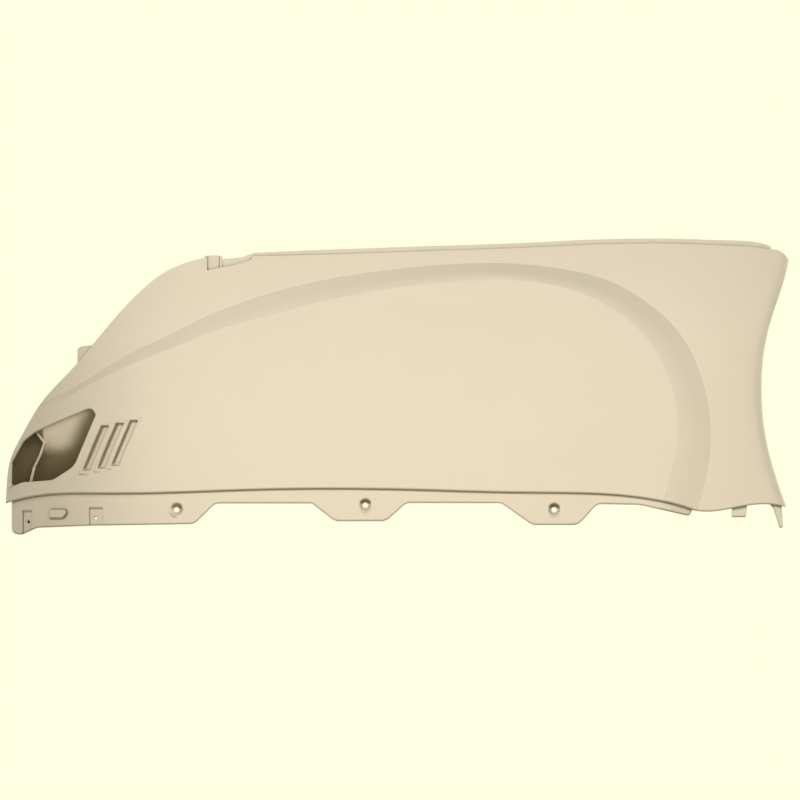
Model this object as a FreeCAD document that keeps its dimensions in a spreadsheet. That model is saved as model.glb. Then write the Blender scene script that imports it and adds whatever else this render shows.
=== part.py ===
import FreeCAD, Part
import math
import os

# Rear side panel of a scooter: one injection moulding, paint on the outer face.
# X runs forward, Z up, Y inward to the frame. The origin is the back of the
# middle screw boss in the lower flange. Lengths are millimetres.

SIZES = [
    ("panel_length", 785),
    ("panel_height", 293),
    ("wall", 2.5),
    ("seat_gap", 20),
    ("tail_start", 120),
    ("tail_sweep", 130),
    ("tail_power", 2.6),
    ("top_lean", 22),
    ("foot_tuck", 5),
    ("front_curl", 8),
    ("widest_height", 70),
    ("step_depth", 12),
    ("roll_radius", 12),
    ("front_wall", 12),
    ("flange_recess", 5.5),
    ("lip_recess", 2.2),
    ("lip_height", 4.5),
    ("screw_pitch", 189),
    ("screw_drop", 4.5),
    ("screw_hole", 5.2),
    ("dimple_mouth", 12),
    ("dimple_depth", 4.5),
    ("boss_width", 14),
    ("tab_drop", 16),
    ("lamp_depth", 7),
    ("lamp_floor", 38),
    ("lamp_rib", 3),
    ("groove_width", 9.5),
    ("groove_rise", 47),
    ("groove_depth", 5),
    ("groove_draft", 1.8),
    ("seat_recess", 1),
]

doc = FreeCAD.newDocument("side_panel")
sheet = doc.addObject("Spreadsheet::Sheet", "sizes")
for row, (name, value) in enumerate(SIZES, 1):
    sheet.set("A%d" % row, name)
    sheet.set("B%d" % row, "%g" % value)
    sheet.setAlias("B%d" % row, name)
doc.recompute()
S = {name: float(sheet.get(name)) for name, value in SIZES}

WALL = S["wall"]
LONG = S["panel_length"] / 785
TALL = S["panel_height"] / 293
FRONT = -60
BACK = 300


def ease(table, at):
    """Smooth cubic through (position, value) pairs; it stays level beyond both ends."""
    if at <= table[0][0]:
        return table[0][1]
    if at >= table[-1][0]:
        return table[-1][1]
    k = max(i for i in range(len(table) - 1) if table[i][0] <= at)

    def slope(i):
        low, high = max(i - 1, 0), min(i + 1, len(table) - 1)
        return (table[high][1] - table[low][1]) / (table[high][0] - table[low][0])

    (p, a), (q, b) = table[k], table[k + 1]
    gap = q - p
    r = (at - p) / gap
    return (a * (1 + 2 * r) * (1 - r) ** 2 + b * r * r * (3 - 2 * r)
            + slope(k) * gap * r * (1 - r) ** 2 - slope(k + 1) * gap * r * r * (1 - r))


# Curves of the outer face in side view, as (x, z) at full size.
BULGE_OUTER = [(300, -80), (334, 9), (345.5, 64), (339.5, 114), (322.7, 160), (291.7, 194.4),
               (245, 224.8), (187.7, 237.4), (119, 242.6), (20, 234.5), (-65.3, 219.8),
               (-126.3, 201.6), (-193.3, 172), (-231.4, 152.9), (-292.6, 118.4), (-345, 83),
               (-400, 43)]
BULGE_INNER = [(262, -78), (298, 11), (314.5, 68), (309, 113), (291.3, 158.3), (266.7, 184.5),
               (230.7, 209), (180, 224.3), (118, 229.1), (25, 219.3), (-65.3, 200.7),
               (-126.3, 183.5), (-186, 161.3), (-231, 142.8), (-290, 114.3), (-343, 78),
               (-399, 36)]
FOOT_LINE = [(0, 215), (8, 10), (10, -90), (16, -430)]
FOOT_HEIGHT = [(0, -75), (2, -58), (4, -47), (16, -47)]
FRONT_EDGE = [(-90, 450), (-40, 436), (-4, 422.5), (24, 412), (63.5, 400.7), (105, 396.4),
              (155, 398.2), (190, 406.9), (218, 417.3), (235, 424.5), (262, 428), (310, 428)]
STEP = [(-400, 0.03), (-345, 0.04), (-292, 0.16), (-193, 0.42), (-65, 0.6), (119, 0.62),
        (245, 0.85), (323, 1)]


def front_edge(z):
    return LONG * ease(FRONT_EDGE, z / TALL)


def along(points, t):
    return tuple(ease([(i, p[axis]) for i, p in enumerate(points)], t) for axis in (0, 1))


def skin_y(x, z):
    """Depth of the smooth outer face, without the step round the bulge."""
    y = -S["seat_gap"]
    tail = (-x - S["tail_start"]) / (362 * LONG - S["tail_start"])
    if tail > 1:
        y += S["tail_sweep"] * (1 + S["tail_power"] * (tail - 1))
    elif tail > 0:
        y += S["tail_sweep"] * tail ** S["tail_power"]
    above = z - S["widest_height"]
    if above > 0:
        y += S["top_lean"] * (above / (190 * TALL)) ** 2
    else:
        y += S["foot_tuck"] * (above / (80 * TALL)) ** 2
    if x > 290 * LONG:
        y += S["front_curl"] * (x / LONG / 130 - 290 / 130) ** 2
    ahead = S["roll_radius"] - (front_edge(z) - x)
    if ahead > 0:
        y += S["roll_radius"] - math.sqrt(max(S["roll_radius"] ** 2 - ahead ** 2, 0))
    return y


def mix(a, b, r):
    return (a[0] + (b[0] - a[0]) * r, a[1] + (b[1] - a[1]) * r)


# Knots of the smooth sheets, in millimetres along X from the front edge back and along Z.
ALONG = [-830, -740, -660, -590, -520, -440, -360, -270, -180, -110, -60, -30, -14, -8, -3, 0, 6,
         20]
UPWARD = [-90, -50, -10, 30, 70, 110, 150, 190, 230, 270, 310]
FRONT_LINE = 400


def spots_of(knots):
    """Pole positions that make a cubic run evenly along its own knots."""
    full = [knots[0]] * 3 + list(knots) + [knots[-1]] * 3
    return [sum(full[i + 1:i + 4]) / 3 for i in range(len(full) - 4)]


def sheet_net(deep):
    """Poles of the smooth outer face, or of the surround that lies a step deeper."""
    net = []
    for v in spots_of(UPWARD):
        row = []
        for u in spots_of(ALONG):
            follow = ease([(-300, 0), (-60, 1)], u)
            z = v * TALL
            x = LONG * (FRONT_LINE + min(u, 0)) + follow * (front_edge(z) - LONG * FRONT_LINE)
            y = skin_y(x, z) + deep * S["step_depth"] * ease(STEP, x / LONG)
            row.append(FreeCAD.Vector(x, y + max(u, 0), z))
        net.append(row)
    return net


def step_net():
    """Poles of the slope between them: ahead of the face inside the bulge, then down."""
    net = []
    for i in range(33):
        t = i / 2
        outer = tuple(v * k for v, k in zip(along(BULGE_OUTER, t), (LONG, TALL)))
        inner = tuple(v * k for v, k in zip(along(BULGE_INNER, t), (LONG, TALL)))
        foot = (ease(FOOT_LINE, t) * LONG, ease(FOOT_HEIGHT, t) * TALL)
        crown = mix(inner, outer, -0.6)
        step = ease(STEP, outer[0] / LONG)
        deep = S["step_depth"] * step
        lead = 0.6 + 2.4 * step
        spots = [(mix(foot, crown, r), -lead) for r in (0, 0.35, 0.7, 1)]
        spots += [(mix(inner, outer, r), deep * s)
                  for r, s in ((0, 0), (0.45, 0.35), (0.75, 0.7), (1, 1), (1.3, 1.36))]
        spots.append((mix(inner, outer, 1.6), deep * 1.72 + 1))
        net.append([FreeCAD.Vector(x, skin_y(x, z) + s, z) for (x, z), s in spots])
    return net


def normals(net):
    """Inward direction at every control point, from its neighbours."""
    result = []
    last, wide = len(net) - 1, len(net[0]) - 1
    for i in range(last + 1):
        line = []
        for j in range(wide + 1):
            du = net[min(i + 1, last)][j] - net[max(i - 1, 0)][j]
            dv = net[i][min(j + 1, wide)] - net[i][max(j - 1, 0)]
            line.append(dv.cross(du).normalize())
        result.append(line)
    if result[5][3].y < 0:
        result = [[-n for n in line] for line in result]
    return result


def smooth_face(net, knots):
    surface = Part.BSplineSurface()
    mults = [[4] + [1] * (len(line) - 2) + [4] for line in knots]
    values = [[float(k) for k in line] for line in knots]
    surface.buildFromPolesMultsKnots(net, *mults, *values, False, False, 3, 3)
    return surface


def tightened(net, knots, last):
    """The net with its poles moved along Y, so that the smooth face meets the wanted spots."""
    wanted = [[p.y for p in line] for line in net]
    rows, cols = spots_of(knots[0]), spots_of(knots[1])
    for _ in range(2):
        surface = smooth_face(net, knots)
        net = [[p + FreeCAD.Vector(0, (y - surface.value(row, col).y) * (col < last), 0)
                for p, y, col in zip(line, goal, cols)]
               for line, goal, row in zip(net, wanted, rows)]
    return net


class Sheet:
    """A smooth sheet of poles that can be sunk into the wall and closed to a solid."""

    def __init__(self, net, knots, last):
        self.net = tightened(net, knots, last)
        self.inward = normals(self.net)
        self.knots = knots

    def sunk(self, depth):
        return [[p + n * depth for p, n in zip(*line)] for line in zip(self.net, self.inward)]

    def shifted(self, depth):
        return [[p + FreeCAD.Vector(0, depth, 0) for p in line] for line in self.net]

    def flat(self, y):
        """The net pressed into one upright plane, its last column spread outward."""
        return [[FreeCAD.Vector(p.x, y, p.z) for p in line[:-1]]
                + [FreeCAD.Vector(line[-1].x * 1.06, y, line[-1].z)] for line in self.net]

    def between(self, near, far):
        """Solid between two nets: both faces and the four strips that join them."""
        a, b = smooth_face(near, self.knots), smooth_face(far, self.knots)
        faces = [a.toShape(), b.toShape()]
        for low in (True, False):
            for iso in ("uIso", "vIso"):
                span = a.bounds()[0:2] if iso == "uIso" else a.bounds()[2:4]
                where = span[0] if low else span[1]
                one, two = getattr(a, iso)(where), getattr(b, iso)(where)
                faces.append(Part.makeRuledSurface(one.toShape(), two.toShape()))
        shell = Part.makeShell(faces)
        shell.sewShape()
        body = Part.Solid(shell)
        if body.Volume < 0:
            body.reverse()
        return body

    def behind(self, depth, back=BACK):
        """Everything on the frame side of the given depth."""
        return self.between(self.sunk(depth), self.flat(back))

    def layer(self, near, far):
        """The slab between two depths square to the sheet."""
        return self.between(self.sunk(near), self.sunk(far))

    def drop(self, near, far):
        """As layer, but with both depths measured straight inward along Y."""
        return self.between(self.shifted(near), self.shifted(far))


FACE = Sheet(sheet_net(0), (UPWARD, ALONG), -20)
SURROUND = Sheet(sheet_net(1), (UPWARD, ALONG), -20)
SLOPE = Sheet(step_net(), (list(range(31)), list(range(8))), 8)
REGIONS = {}


def behind(depth):
    """Everything behind the whole stepped face, sunk to the given depth."""
    if depth not in REGIONS:
        bulge = FACE.behind(depth, BACK - 20).common(SLOPE.behind(depth, BACK - 10))
        REGIONS[depth] = SURROUND.behind(depth).fuse(bulge)
    return REGIONS[depth]


def plan(x, z, y=FRONT):
    """A drawing point of the side view, placed in space."""
    return FreeCAD.Vector(x * LONG, y, z * TALL)


def spline(points):
    curve = Part.BSplineCurve()
    curve.interpolate([plan(x, z) for x, z in points])
    return curve.toShape()


def lines(points):
    spots = [plan(x, z) for x, z in points]
    return [Part.makeLine(a, b) for a, b in zip(spots, spots[1:])]


def arc(a, b, c):
    return Part.Arc(plan(*a), plan(*b), plan(*c)).toShape()


def bar(edges, back=BACK):
    """Solid that runs from front to back along Y, bounded by a closed outline."""
    face = Part.Face(Part.Wire(edges))
    return face.extrude(FreeCAD.Vector(0, back - FRONT, 0))


def rounded(corners):
    """Closed outline of straight sides; each corner is (x, z, radius)."""
    spots = [plan(x, z) for x, z, r in corners]
    edges, ends = [], []
    for k, (x, z, r) in enumerate(corners):
        here, back, ahead = spots[k], spots[k - 1], spots[(k + 1) % len(spots)]
        one, two = (back - here).normalize(), (ahead - here).normalize()
        turn = one.getAngle(two)
        run = r / math.tan(turn / 2) if r else 0
        start, stop = here + one * run, here + two * run
        if r:
            middle = (one + two).normalize() * (r / math.sin(turn / 2) - r)
            edges.append(Part.Arc(start, here + middle, stop).toShape())
        ends.append((start, stop, k))
    sides = []
    for k, (start, stop, _) in enumerate(ends):
        after = ends[(k + 1) % len(ends)][0]
        if (after - stop).Length > 1e-6:
            sides.append(Part.makeLine(stop, after))
    return Part.__sortEdges__(edges + sides)


def strip(edges, dx, dz):
    """Bar between a run of edges and the same run moved sideways by (dx, dz)."""
    shift = FreeCAD.Vector(dx, 0, dz)
    run = Part.Wire(Part.__sortEdges__(edges))
    other = run.copy()
    other.translate(shift)
    first, last = run.OrderedVertexes[0].Point, run.OrderedVertexes[-1].Point
    sides = [Part.makeLine(first, first + shift), Part.makeLine(last, last + shift)]
    return bar(Part.__sortEdges__(run.Edges + other.Edges + sides))


# Edges of the painted face.
FOOT = [(-362, 1.2), (-338.5, 7.4), (-255.3, 11.7), (-100.5, 16), (49.7, 15.6), (154.7, 12.8),
        (287.7, 5.8), (313.3, 0), (328.6, -5.1)]
FRONT_FOOT = [(328.6, -5.1), (345.7, -6.4), (380.4, -0.7), (404.7, 0.8), (422.5, -2.1),
              (434, -4.5)]
TAIL = [(-362, 1.2), (-361.2, 18.2), (-356.1, 48.8), (-346.9, 67.1), (-324.5, 103.9),
        (-298, 132.4), (-266.1, 169.4), (-231.4, 208.3), (-198.9, 234.2), (-175.3, 244),
        (-158.5, 248.1)]
NOTCH = [(-158.5, 248.1), (-158.5, 235.3), (-145.7, 238.3), (-133.3, 240.3), (-115.3, 245.7),
         (-112.6, 249.7)]
TOP = [(-112.6, 249.7), (-35.3, 251.4), (84.7, 255.5), (170.7, 258.6), (222.7, 261.2),
       (273.7, 262.4), (325.7, 261.9), (354.7, 260.7), (394.1, 258.3), (406, 256.6)]
CORNER = [(406, 256.6), (419.5, 251.5), (426.5, 237)]
TAB_SIDES = [(-53.3, -30.5, 20.5, 41), (136, 167, 213, 232)]


def closed(*runs):
    return Part.__sortEdges__([edge for run in runs for edge in run])


def skin_outline():
    front = lines([CORNER[-1], (434, 226), FRONT_FOOT[-1]])
    return closed([spline(FOOT), spline(FRONT_FOOT), spline(TAIL), spline(TOP), arc(*CORNER)],
                  lines(NOTCH), front)


def flange_outline():
    """Lower flange with its screw tabs; its top runs hidden behind the face."""
    low = S["tab_drop"]
    corners = [(-356.2, 30, 0), (-356.2, -29, 6), (-346, -30.5, 8), (-330, -23.2, 14),
               (-277, -20.8, 60), (-171, -18.8, 11), (-150, 1.8, 9)]
    for k, (a, b, c, d) in enumerate(TAB_SIDES):
        deep = low + 3.8 * k
        corners += [(a, 1.8 + 0.3 * k, 7), (b, -deep, 13), (c, -deep, 13), (d, 2.2 - k, 10)]
    return rounded(corners + [(275, 0.4, 40), (324.5, -11, 4), (327.5, -4, 0), (330, 30, 0)])


def lip_outline():
    crest = [(-112, 252.5)] + [(x, z + S["lip_height"]) for x, z in TOP[1:-1]] + [(406, 259.2)]
    rest = lines([(406, 259.2), (406, 240), (-100, 225), (-158.5, 225), (-158.5, 249.5),
                  (-149, 249.5), (-145, 246), (-123, 248.2), (-112, 252.5)])
    return closed(rest, [spline(crest)])


def front_limit():
    """Everything beyond the free edge of the turned-in front wall."""
    deep = S["step_depth"] + S["roll_radius"] + S["front_wall"]
    x, heights = 380 * LONG, [(50 * k - 90) * TALL for k in range(9)]
    spots = [FreeCAD.Vector(x, skin_y(x, z) + deep, z) for z in heights]
    curve = Part.BSplineCurve()
    curve.interpolate(spots)
    low, high = FreeCAD.Vector(x, BACK + 20, heights[0]), FreeCAD.Vector(x, BACK + 20, heights[-1])
    sides = Part.makePolygon([spots[-1], high, low, spots[0]]).Edges
    face = Part.Face(Part.Wire(Part.__sortEdges__([curve.toShape()] + sides)))
    return face.extrude(FreeCAD.Vector(120 * LONG, 0, 0))


def blank():
    """Block as deep as the flange and the turned-in edges, in side view the whole moulding."""
    view = bar(skin_outline()).fuse([bar(flange_outline()), bar(lip_outline())])
    part = behind(0).common(view).cut(front_limit())
    return part.cut(behind(S["flange_recess"] + WALL))


def shell():
    """The blank opened from behind, and stepped back at the flange and the lip."""
    foot, top = [spline(FOOT)], lines(NOTCH[1:]) + [spline(TOP)]
    inner = bar(skin_outline())
    for run, dx, dz in ((foot + [spline(FRONT_FOOT)], 0, WALL), (top, 0, -WALL),
                        ([spline(TAIL)], 1.04 * WALL, -0.64 * WALL)):
        rim_bar = strip(run, 4 * dx, 4 * dz)
        rim_bar.translate(FreeCAD.Vector(-3 * dx, 0, -3 * dz))
        inner = inner.cut(rim_bar)
    under = bar(closed(foot, lines([FOOT[-1], (331, -60), (-380, -60), (-380, 1.2), FOOT[0]])))
    over = bar(closed(top, lines([TOP[-1], (415, 262), (415, 290), (-170, 290), (-170, 249.5),
                                  NOTCH[0], NOTCH[1]])))
    upper = bar(rounded([(-161, 290, 0), (-161, 230, 0), (-100, 238, 0), (300, 250, 0),
                         (410, 246, 0), (410, 290, 0)]))
    part = blank()
    part = part.cut(behind(WALL).common(inner))
    part = part.cut(behind(S["lip_recess"] + WALL).common(upper))
    part = part.cut(under.cut(behind(S["flange_recess"])))
    return part.cut(over.cut(behind(S["lip_recess"])))


# The lamp seat at the tail: an opening with a sloping floor behind it.
LAMP = [(-356.3, 17.5, 3), (-355.3, 42, 10), (-343, 64, 16), (-331, 73, 10), (-312, 81.5, 40),
        (-275.5, 97, 4), (-269.5, 92, 5), (-292, 39, 20), (-314, 24.8, 16), (-345, 22.5, 12)]
LAMP_SPLIT = [(-331, 125), (-331, 73), (-322.3, 62.3), (-327, 49), (-332.8, 37.6),
              (-338.5, 15), (-341, -15)]


def plane_block(spots):
    """Everything on the frame side of the plane through three (x, z, depth) spots."""
    a, b, c = [plan(x, z) + FreeCAD.Vector(0, skin_y(x * LONG, z * TALL) + d - FRONT, 0)
               for x, z, d in spots]
    inward = (b - a).cross(c - a).normalize()
    if inward.y < 0:
        inward = -inward
    block = Part.makeBox(800, 800, 600, FreeCAD.Vector(-400, -400, 0))
    block.Placement = FreeCAD.Placement(a, FreeCAD.Rotation(FreeCAD.Vector(0, 0, 1), inward))
    return block


def lamp_room(extra, gap):
    """Space ahead of both floors: the shallow one forward of the rib, the deep one aft."""
    near, deep = S["lamp_depth"] + extra, S["lamp_floor"] + extra
    forward = plane_block([(-331, 72, near + 4), (-271, 95, near + 2), (-306, 31, deep + 4)])
    aft = plane_block([(-357, 25, deep - 12), (-331, 70, deep - 6), (-338, 26, deep - 3)])
    half = S["lamp_rib"] / 2 - gap
    a = strip(lines([(x + half, z) for x, z in LAMP_SPLIT]), 120, 0).cut(forward)
    b = strip(lines([(x - half, z) for x, z in LAMP_SPLIT]), -120, 0).cut(aft)
    return a, b


def lamp_cup():
    """Closed seat behind the lamp opening; its walls are a little thinner than the face."""
    a, b = lamp_room(WALL, 0.9 * WALL)
    outline = Part.Wire(rounded(LAMP)).makeOffset2D(0.88 * WALL, 0).Edges
    return FACE.behind(WALL / 2).common(bar(outline)).common(a.fuse(b))


def lamp_hollow():
    """What is open in the seat: its mouth, and both sides of the rib."""
    a, b = lamp_room(0, 0)
    mouth = bar(rounded(LAMP))
    return mouth.common(a.fuse(b)).fuse(mouth.cut(FACE.behind(S["lamp_depth"])))


# Three blind slots beside the lamp.
GROOVE_CENTRES = [(-270.8, 56.8), (-255.7, 59.3), (-241.5, 62)]
GROOVE_LEAN = 20


def slot(centre, wide, long_, inset, front, deep):
    """Tapered leaning slot, square to the face at its centre."""
    x, z = centre[0] * LONG, centre[1] * TALL
    gx = (skin_y(x + 2, z) - skin_y(x - 2, z)) / 4
    gz = (skin_y(x, z + 2) - skin_y(x, z - 2)) / 4
    inward = FreeCAD.Vector(-gx, 1, -gz).normalize()
    wires = []
    for gap, depth in ((0, front), (inset, deep)):
        corners = []
        for i, k in ((-1, -1), (1, -1), (1, 1), (-1, 1)):
            dx = i * (wide / 2 - gap) + k * (GROOVE_LEAN / 2 - gap * 0.4)
            dz = k * (long_ / 2 - gap)
            spot = FreeCAD.Vector(x + dx, skin_y(x, z) + gx * dx + gz * dz, z + dz)
            corners.append(spot + inward * depth)
        wires.append(Part.makePolygon(corners + corners[:1]))
    return Part.makeLoft(wires, True, True)


# Small features of the lower flange and the edges: outline and depths below the face.
CLIP_SEATS = [(-276.8, -263.3, -3, -26), (-345, -335.3, -6.5, -34)]
CLIP_HOLES = [(-270.1, -13.1), (-338.7, -17.5)]
PAD = [(-317.5, -4.5, 1), (-317.5, -13.6, 1), (-303.5, -13.6, 3), (-300.3, -9, 3),
       (-300.3, -4.5, 3)]
LUG = [(-288.8, 130, 0), (-288.8, 156, 2), (-286, 158.8, 2), (-272, 160.5, 2), (-262, 150, 0),
       (-262, 140, 0)]
NOTCH_SEAT = [(-161, 232.5, 2), (-143.2, 235.5, 2), (-143.2, 249, 0), (-149, 250.2, 0),
              (-161, 249.6, 0)]
NOTCH_OPEN = [(-158.5, 235.3, 0), (-145.7, 238.3, 0), (-145.7, 270, 0), (-158.5, 270, 0)]
TAB = [(367.2, 6, 0), (366.6, -12.1, 1.5), (381.2, -12.1, 1.5), (382.7, 6, 0)]
PRONG = [(398, 9, 0), (408.5, -3, 3), (415, -22.6, 1.2), (418.3, -22.6, 1.2), (416.5, 9, 0)]


def box_outline(left, right, top, low):
    return rounded([(left, top, 0), (right, top, 0), (right, low, 0), (left, low, 0)])


def fittings():
    """Lug, notch seat, pad, tab and prong, all part of the same moulding."""
    back = S["flange_recess"]
    return [
        SURROUND.layer(3, 3 + WALL).common(bar(rounded(LUG))),
        SURROUND.layer(WALL / 2, 5 + WALL).common(bar(rounded(NOTCH_SEAT))),
        FACE.layer(back - 2.5, back + 1).common(bar(rounded(PAD))),
        SURROUND.drop(7, 7 + WALL).common(bar(rounded(TAB))),
        SURROUND.drop(6, 11).common(bar(rounded(PRONG))),
    ]


def recesses():
    """Clip seats in the flange and the open part of the notch."""
    floor = FACE.behind(S["flange_recess"] + S["seat_recess"])
    seats = [bar(box_outline(*seat)).cut(floor) for seat in CLIP_SEATS]
    return seats + [bar(rounded(NOTCH_OPEN)).cut(SURROUND.behind(5))]


def feature(name, shape):
    item = doc.addObject("Part::Feature", name)
    item.Shape = shape
    return item


def bound(kind, name, place, **sizes):
    """A primitive whose sizes are bound to the sheet and whose axis runs inward."""
    item = doc.addObject(kind, name)
    for key, rule in sizes.items():
        item.setExpression(key, rule)
    turn = FreeCAD.Rotation(FreeCAD.Vector(1, 0, 0), -90)
    item.Placement = FreeCAD.Placement(FreeCAD.Vector(*place), turn)
    return item


def face_at(x, z):
    return skin_y(x, z) + S["flange_recess"]


SCREWS = [(-S["screw_pitch"], -S["screw_drop"]), (0, 0), (S["screw_pitch"], -S["screw_drop"])]

solids = [feature("shell", shell()), feature("lamp_cup", lamp_cup())]
solids += [feature("fitting", shape) for shape in fittings()]
cuts = [feature("lamp_hollow", lamp_hollow())]
cuts += [feature("recess", shape) for shape in recesses()]

grow = 2 * WALL
for centre in GROOVE_CENTRES:
    wide, high, deep = S["groove_width"], S["groove_rise"], S["groove_depth"]
    solids.append(feature("groove_back", slot(centre, wide + grow, high + grow,
                                              S["groove_draft"], 0.6, deep + WALL)))
    cuts.append(feature("groove", slot(centre, wide, high, S["groove_draft"], -2.5, deep)))

for x, z in SCREWS:
    front = face_at(x, z)
    boss = bound("Part::Cylinder", "boss", (x, front + 0.5, z), Radius="sizes.boss_width / 2")
    boss.Height = -front - 0.5
    solids.append(boss)
    cuts.append(bound("Part::Cylinder", "screw_hole", (x, -60, z),
                      Radius="sizes.screw_hole / 2", Height="sizes.seat_gap * 2 + 60"))
    cuts.append(bound("Part::Cone", "dimple", (x, front - 1, z),
                      Radius1="sizes.dimple_mouth / 2 + 0.6",
                      Radius2="sizes.screw_hole * 0.65", Height="sizes.dimple_depth + 1"))
for x, z in CLIP_HOLES:
    x, z = x * LONG, z * TALL
    cuts.append(bound("Part::Cylinder", "clip_hole", (x, face_at(x, z) - 30, z),
                      Radius="sizes.wall / 2"))
    cuts[-1].Height = 60

whole = doc.addObject("Part::MultiFuse", "whole")
whole.Shapes = solids
hollow = doc.addObject("Part::MultiFuse", "hollow")
hollow.Shapes = cuts
panel = doc.addObject("Part::Cut", "panel")
panel.Base = whole
panel.Tool = hollow
panel.Label = "side_panel"
doc.recompute()

for item in doc.Objects:
    if "Invalid" in item.State or "Error" in item.State:
        raise RuntimeError("%s did not build: %s" % (item.Label, item.State))
    if hasattr(item, "Shape") and (item.Shape.isNull() or not item.Shape.isValid()):
        raise RuntimeError("%s has no valid shape" % item.Label)
if len(panel.Shape.Solids) != 1:
    raise RuntimeError("the panel is not one solid: %d" % len(panel.Shape.Solids))

os.makedirs("parts", exist_ok=True)
panel.Shape.exportStep("parts/side_panel.step")
print(len(panel.Shape.Faces), round(panel.Shape.Volume), panel.Shape.optimalBoundingBox())
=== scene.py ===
import math
import bpy
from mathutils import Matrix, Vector

# Looks of the side panel: glossy cream paint on the outer face, bare plastic behind
# and down in the lamp seat, a soft studio light and a pale floor. Metres throughout.

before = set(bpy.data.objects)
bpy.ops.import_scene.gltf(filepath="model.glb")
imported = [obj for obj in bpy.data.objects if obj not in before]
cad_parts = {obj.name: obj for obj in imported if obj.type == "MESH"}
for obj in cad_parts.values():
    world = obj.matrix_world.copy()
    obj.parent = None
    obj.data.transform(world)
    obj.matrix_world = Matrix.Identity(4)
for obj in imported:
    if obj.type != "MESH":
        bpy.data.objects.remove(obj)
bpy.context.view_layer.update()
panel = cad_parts["side_panel"]

CREAM = (0.803, 0.692, 0.538)
CREAM_DEEP = (0.780, 0.668, 0.514)
DUST = (0.500, 0.420, 0.300)
# Colour of the painted shade that lower edges and creases are darkened toward.
PAINTED_SHADE_COLOUR = (0.190, 0.150, 0.090)
BARE = (0.098, 0.082, 0.056)
BARE_PALE = (0.118, 0.099, 0.069)
SEAT = (0.190, 0.142, 0.070)
SEAT_PALE = (0.240, 0.184, 0.098)
OVERSPRAY = (0.760, 0.650, 0.490)
BACKGROUND = (1.0, 1.0, 0.768)
ROOM = (1.0, 0.985, 0.95)
FLOOR = (0.90, 0.89, 0.72)
FLOOR_GLOW = (0.90, 0.90, 0.70)

# How far edges look rounded, and how far the painted shade reaches from a lower edge or a crease.
PAINT_EDGE = 0.0009
PLASTIC_EDGE = 0.0007
RIM_REACH = 0.0034
CREASE_REACH = 0.0035
# The painted shade reaches at most this share of its colour.
MOST_SHADE = 0.95

# Places in side view: the panel, the block of slots, the lamp opening as in the part,
# the thin rib in the opening from the top down, and the screw and clip holes.
PANEL_MIDDLE = (0.03, 0.11)
PANEL_HALF = (0.39, 0.15)
SLOTS_X = (-0.295, -0.21)
SLOTS_Z = (0.02, 0.1)
LAMP = [(-0.3563, 0.0175), (-0.3553, 0.042), (-0.343, 0.064), (-0.331, 0.073), (-0.312, 0.0815),
        (-0.2755, 0.097), (-0.2695, 0.092), (-0.292, 0.039), (-0.314, 0.0248), (-0.345, 0.0225)]
LAMP_MIDDLE = Vector((-0.313, 0, 0.056))
RIB = [(-0.331, 0.076), (-0.3223, 0.0623), (-0.327, 0.049), (-0.3328, 0.0376), (-0.337, 0.020)]
RIB_HALF = 0.0016
HOLES = [(-0.189, -0.0045), (0, 0), (0.189, -0.0045), (-0.2701, -0.0131), (-0.3387, -0.0175)]
HOLE_REACH = 0.0033


class Nodes:
    """Adds nodes to one emptied node tree and wires them up."""

    def __init__(self, tree, output):
        self.tree = tree
        self.tree.nodes.clear()
        self.out = self.tree.nodes.new(output).inputs["Surface"]

    def add(self, kind, links=None, **settings):
        node = self.tree.nodes.new(kind)
        for key, value in settings.items():
            setattr(node, key, value)
        for key, value in (links or {}).items():
            self.put(node.inputs[key], value)
        return node

    def put(self, socket, value):
        if isinstance(value, bpy.types.NodeSocket):
            self.tree.links.new(value, socket)
        elif isinstance(value, tuple) and len(value) == 3 and socket.type == "RGBA":
            socket.default_value = (*value, 1)
        else:
            socket.default_value = value

    def math(self, kind, a, b=0.0):
        return self.add("ShaderNodeMath", {0: a, 1: b}, operation=kind).outputs[0]

    def seen(self):
        """1 for rays from the camera, a mirror or glass, and 0 for rays that only light."""
        path = self.add("ShaderNodeLightPath").outputs
        mirror = self.math("MAXIMUM", path["Is Glossy Ray"], path["Is Transmission Ray"])
        return self.math("MAXIMUM", mirror, path["Is Camera Ray"])

    def finish_mixed(self, share, first, second):
        """Ends the tree in a mix of two shaders, with this share of the second."""
        mixed = self.add("ShaderNodeMixShader", {0: share, 1: first, 2: second})
        self.put(self.out, mixed.outputs[0])


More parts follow.
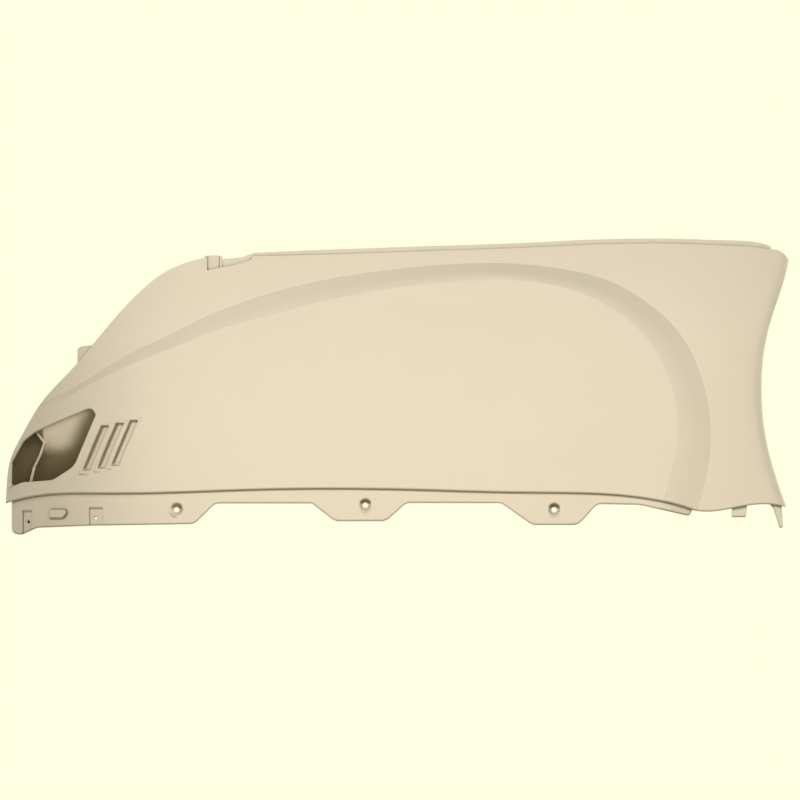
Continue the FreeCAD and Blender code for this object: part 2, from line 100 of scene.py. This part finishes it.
class Shader(Nodes):
    """The node tree of one material."""

    def __init__(self, name):
        self.material = bpy.data.materials.new(name)
        self.material.use_nodes = True
        super().__init__(self.material.node_tree, "ShaderNodeOutputMaterial")
        self.spot = self.add("ShaderNodeTexCoord").outputs["Object"]

    def axes(self, vector):
        return self.add("ShaderNodeSeparateXYZ", {"Vector": vector}).outputs

    def noise(self, scale, detail=2.0, rough=0.5, stretch=None):
        where = self.spot
        if stretch:
            where = self.add("ShaderNodeMapping", {"Vector": where, "Scale": stretch}).outputs[0]
        links = {"Vector": where, "Scale": scale, "Detail": detail, "Roughness": rough}
        return self.add("ShaderNodeTexNoise", links).outputs["Fac"]

    def ramp(self, value, low, high, start=0.0, end=1.0):
        links = {"Value": value, "From Min": low, "From Max": high, "To Min": start, "To Max": end}
        return self.add("ShaderNodeMapRange", links, interpolation_type="SMOOTHSTEP").outputs[0]

    def blend(self, factor, a, b):
        return self.add("ShaderNodeMix", {0: factor, 6: a, 7: b}, data_type="RGBA").outputs[2]

    def bump(self, height, distance, strength, below):
        links = {"Height": height, "Distance": distance, "Strength": strength, "Normal": below}
        return self.add("ShaderNodeBump", links).outputs[0]

    def shade(self, reach):
        """1 in the open and 0 deep in a corner, within the given reach."""
        node = self.add("ShaderNodeAmbientOcclusion", {"Distance": reach}, samples=8)
        return node.outputs["AO"]

    def edge(self, radius):
        """Normals that round off sharp edges by a small radius."""
        return self.add("ShaderNodeBevel", {"Radius": radius}, samples=6).outputs[0]

    def grain(self):
        """Normals of moulded plastic with a fine grain."""
        return self.bump(self.noise(1500.0, 2.0), 0.00004, 0.5, self.edge(PLASTIC_EDGE))

    def surface(self, **links):
        named = {key.replace("_", " "): value for key, value in links.items()}
        shader = self.add("ShaderNodeBsdfPrincipled", named).outputs[0]
        self.put(self.out, shader)
        return shader


def painted_shade(s):
    """Painted shade on the paint: darker under the lower edges and in the creases."""
    rim = s.ramp(s.axes(s.edge(RIM_REACH))[2], -0.42, -0.16, MOST_SHADE, 0.0)
    crease = s.ramp(s.shade(CREASE_REACH), 0.38, 0.82, MOST_SHADE, 0.0)
    # From the slots to the tail, above the lower edge, less shade is painted into the creases.
    x, _, z = s.axes(s.spot)
    elsewhere = s.math("MAXIMUM", s.ramp(x, -0.222, -0.213), s.ramp(z, 0.024, 0.03, 1.0, 0.0))
    crease = s.math("MULTIPLY", crease, s.ramp(elsewhere, 0.0, 1.0, 0.35, 1.0))
    return s.math("MAXIMUM", rim, crease)


def paint():
    """Glossy cream paint: slight clouding, dust, painted shade under the lower edges and in the
    creases, haze, fine scratches and orange peel.
    """
    s = Shader("cream_paint")
    cloud = s.noise(4.0, 3.0)
    colour = s.blend(s.ramp(cloud, 0.2, 0.8), CREAM, CREAM_DEEP)
    dust = s.ramp(s.noise(700.0, 2.0), 0.62, 0.78, 0.0, 0.14)
    colour = s.blend(dust, colour, DUST)
    # Painted shade: darker under the lower edges and in the creases.
    colour = s.blend(painted_shade(s), colour, PAINTED_SHADE_COLOUR)
    haze = s.math("MULTIPLY", s.noise(9.0, 4.0, 0.6), 0.08)
    line = s.math("SUBTRACT", s.noise(60.0, 1.0, 0.4, (0.5, 1.0, 9.0)), 0.5)
    scratch = s.ramp(s.math("ABSOLUTE", line), 0.0, 0.003, 1.0, 0.0)
    rough = s.math("ADD", s.math("ADD", 0.29, haze), s.math("MULTIPLY", scratch, 0.08))
    peel = s.bump(s.noise(420.0, 2.0), 0.00002, 0.35, s.edge(PAINT_EDGE))
    wave = s.bump(s.noise(10.0, 1.0), 0.0004, 0.12, peel)
    s.surface(Base_Color=colour, Roughness=rough, Normal=wave, Coat_Weight=0.5,
              Coat_Roughness=0.05, Coat_Normal=wave, Specular_IOR_Level=0.5)
    return s.material


def bare():
    """Unpainted moulded plastic with a fine grain and faint flow marks."""
    s = Shader("bare_plastic")
    cloud = s.noise(20.0, 4.0, 0.6)
    colour = s.blend(s.ramp(cloud, 0.3, 0.7), BARE, BARE_PALE)
    flow = s.bump(s.noise(25.0, 2.0, 0.5, (1.0, 1.0, 6.0)), 0.0003, 0.3, s.grain())
    s.surface(Base_Color=colour, Roughness=s.ramp(cloud, 0.3, 0.7, 0.42, 0.58), Normal=flow)
    return s.material


def seat():
    """The lamp seat: bare plastic, with overspray on the upper part of the forward floor."""
    s = Shader("lamp_seat_plastic")
    cloud = s.noise(60.0, 4.0, 0.6)
    x, _, height = s.axes(s.spot)
    z = s.math("ADD", height, s.math("MULTIPLY", cloud, 0.004))
    high = s.ramp(z, 0.050, 0.066)
    # The opening's forward wall runs along x = 0.4245 z - 0.3085, and the pale colour gives way to
    # the dark plastic close to it.
    from_wall = s.math("SUBTRACT", s.math("ADD", x, 0.3085), s.math("MULTIPLY", z, 0.4245))
    mist = s.math("MULTIPLY", high, s.ramp(from_wall, -0.024, -0.004, 1.0, 0.0))
    mist = s.math("MULTIPLY", mist, s.ramp(x, -0.326, -0.322))
    colour = s.blend(mist, s.blend(cloud, SEAT, SEAT_PALE), OVERSPRAY)
    s.surface(Base_Color=colour, Roughness=s.ramp(mist, 0.0, 1.0, 0.5, 0.35), Normal=s.grain())
    return s.material


def pale_floor():
    """Matt floor; seen directly or mirrored, it is mostly as pale as the background."""
    s = Shader("pale_floor")
    cloud = s.blend(s.noise(1.2, 2.0), FLOOR, tuple(c * 0.985 for c in FLOOR))
    lit = s.surface(Base_Color=cloud, Roughness=0.9, Specular_IOR_Level=0.1)
    glow = s.add("ShaderNodeEmission", {"Color": FLOOR_GLOW, "Strength": 1.0}).outputs[0]
    s.finish_mixed(s.math("MULTIPLY", s.seen(), 0.7), lit, glow)
    return s.material


def inside(outline, x, z):
    """True for a side-view spot within a closed outline."""
    found = False
    for (ax, az), (bx, bz) in zip(outline, outline[1:] + outline[:1]):
        if (az > z) != (bz > z) and x < ax + (bx - ax) * (z - az) / (bz - az):
            found = not found
    return found


def to_line(line, x, z):
    """Side-view distance from a spot to an open line."""
    spot = Vector((x, z))
    gaps = []
    for a, b in zip(map(Vector, line), map(Vector, line[1:])):
        share = (spot - a).dot(b - a) / (b - a).length_squared
        gaps.append((spot - a.lerp(b, min(max(share, 0), 1))).length)
    return min(gaps)


PAINT, PLASTIC, LAMP_SEAT = range(3)


def finish_of(centre, normal):
    """Which finish a facet wears; the panel's outer side faces toward -Y."""
    x, z = centre.x, centre.z
    # Drawn in a little toward the middle, so that the opening's own walls count as inside.
    spot = LAMP_MIDDLE + (centre - LAMP_MIDDLE) * 0.985
    if normal.y < 0.5 and inside(LAMP, spot.x, spot.z):
        on_rib = normal.y < -0.6 and to_line(RIB, x, z) < RIB_HALF
        return PAINT if on_rib else LAMP_SEAT
    # Bore walls of the screw and clip holes are bare plastic, and their dark colour also stands in
    # for the shade inside the holes.
    near_hole = any(math.hypot(x - hole_x, z - hole_z) < HOLE_REACH for hole_x, hole_z in HOLES)
    if normal.y > 0.3 or (near_hole and abs(normal.y) < 0.5):
        return PLASTIC
    # Walls that look back toward the panel's middle are on its inner side, but for the slots'.
    out = Vector(((x - PANEL_MIDDLE[0]) / PANEL_HALF[0], 0, (z - PANEL_MIDDLE[1]) / PANEL_HALF[1]))
    near_slots = SLOTS_X[0] < x < SLOTS_X[1] and SLOTS_Z[0] < z < SLOTS_Z[1]
    looks_in = normal.y > -0.3 and normal.dot(out.normalized()) < -0.2
    return PLASTIC if looks_in and not near_slots else PAINT


panel.data.materials.clear()
for material in (paint(), bare(), seat()):
    panel.data.materials.append(material)
for facet in panel.data.polygons:
    facet.material_index = finish_of(facet.center, facet.normal)

# The floor lies below the picture's frame, because the panel keeps its mounted attitude.
FLOOR_PLACE = (0.03, 0, -0.34)
bpy.ops.mesh.primitive_plane_add(size=1, location=FLOOR_PLACE)
floor = bpy.context.object
floor.name = "floor"
floor.scale = (6, 4, 1)
floor.data.materials.append(pale_floor())

CENTRE = Vector((0.06, 0, 0.12))


def lamp(name, place, width, height, power):
    """A soft box aimed at the panel's centre, which the paint doesn't mirror."""
    data = bpy.data.lights.new(name, "AREA")
    data.shape = "RECTANGLE"
    data.size = width
    data.size_y = height
    data.energy = power
    item = bpy.data.objects.new(name, data)
    item.location = place
    item.rotation_euler = (CENTRE - Vector(place)).to_track_quat("-Z", "Y").to_euler()
    item.visible_glossy = False
    bpy.context.scene.collection.objects.link(item)


lamp("key", (0.06, -1.6, 0.45), 0.9, 0.7, 18.2)
lamp("left", (-1.4, -2.0, 0.3), 0.9, 0.9, 5)
lamp("low", (0.06, -1.8, -0.2), 0.9, 0.2, 1.5)
lamp("right", (2.2, 0.75, 0.5), 1.0, 1.0, 16)
lamp("back", (-0.4, 2.2, 1.3), 1.2, 1.2, 34)

# The background keeps its plain pale colour, and the light that it gives is far weaker.
world = bpy.data.worlds.new("studio")
bpy.context.scene.world = world
world.use_nodes = True
sky = Nodes(world.node_tree, "ShaderNodeOutputWorld")
plain = sky.add("ShaderNodeBackground", {"Color": BACKGROUND, "Strength": 1.0})
room = sky.add("ShaderNodeBackground", {"Color": ROOM, "Strength": 0.06})
sky.finish_mixed(sky.seen(), room.outputs[0], plain.outputs[0])

# The camera looks square at the outer side, and the frame is this wide at the face.
FRAME_WIDTH = 0.8
FACE_DISTANCE = 19.98
CAMERA_PLACE = (0.0347, -20, 0.1053)
camera = bpy.data.cameras.new("camera")
camera.sensor_width = 36
camera.lens = camera.sensor_width * FACE_DISTANCE / FRAME_WIDTH
camera.clip_end = 100
eye = bpy.data.objects.new("camera", camera)
eye.location = CAMERA_PLACE
eye.rotation_euler = (math.pi / 2, 0, 0)
bpy.context.scene.collection.objects.link(eye)
bpy.context.scene.camera = eye
bpy.context.scene.view_settings.view_transform = "Standard"
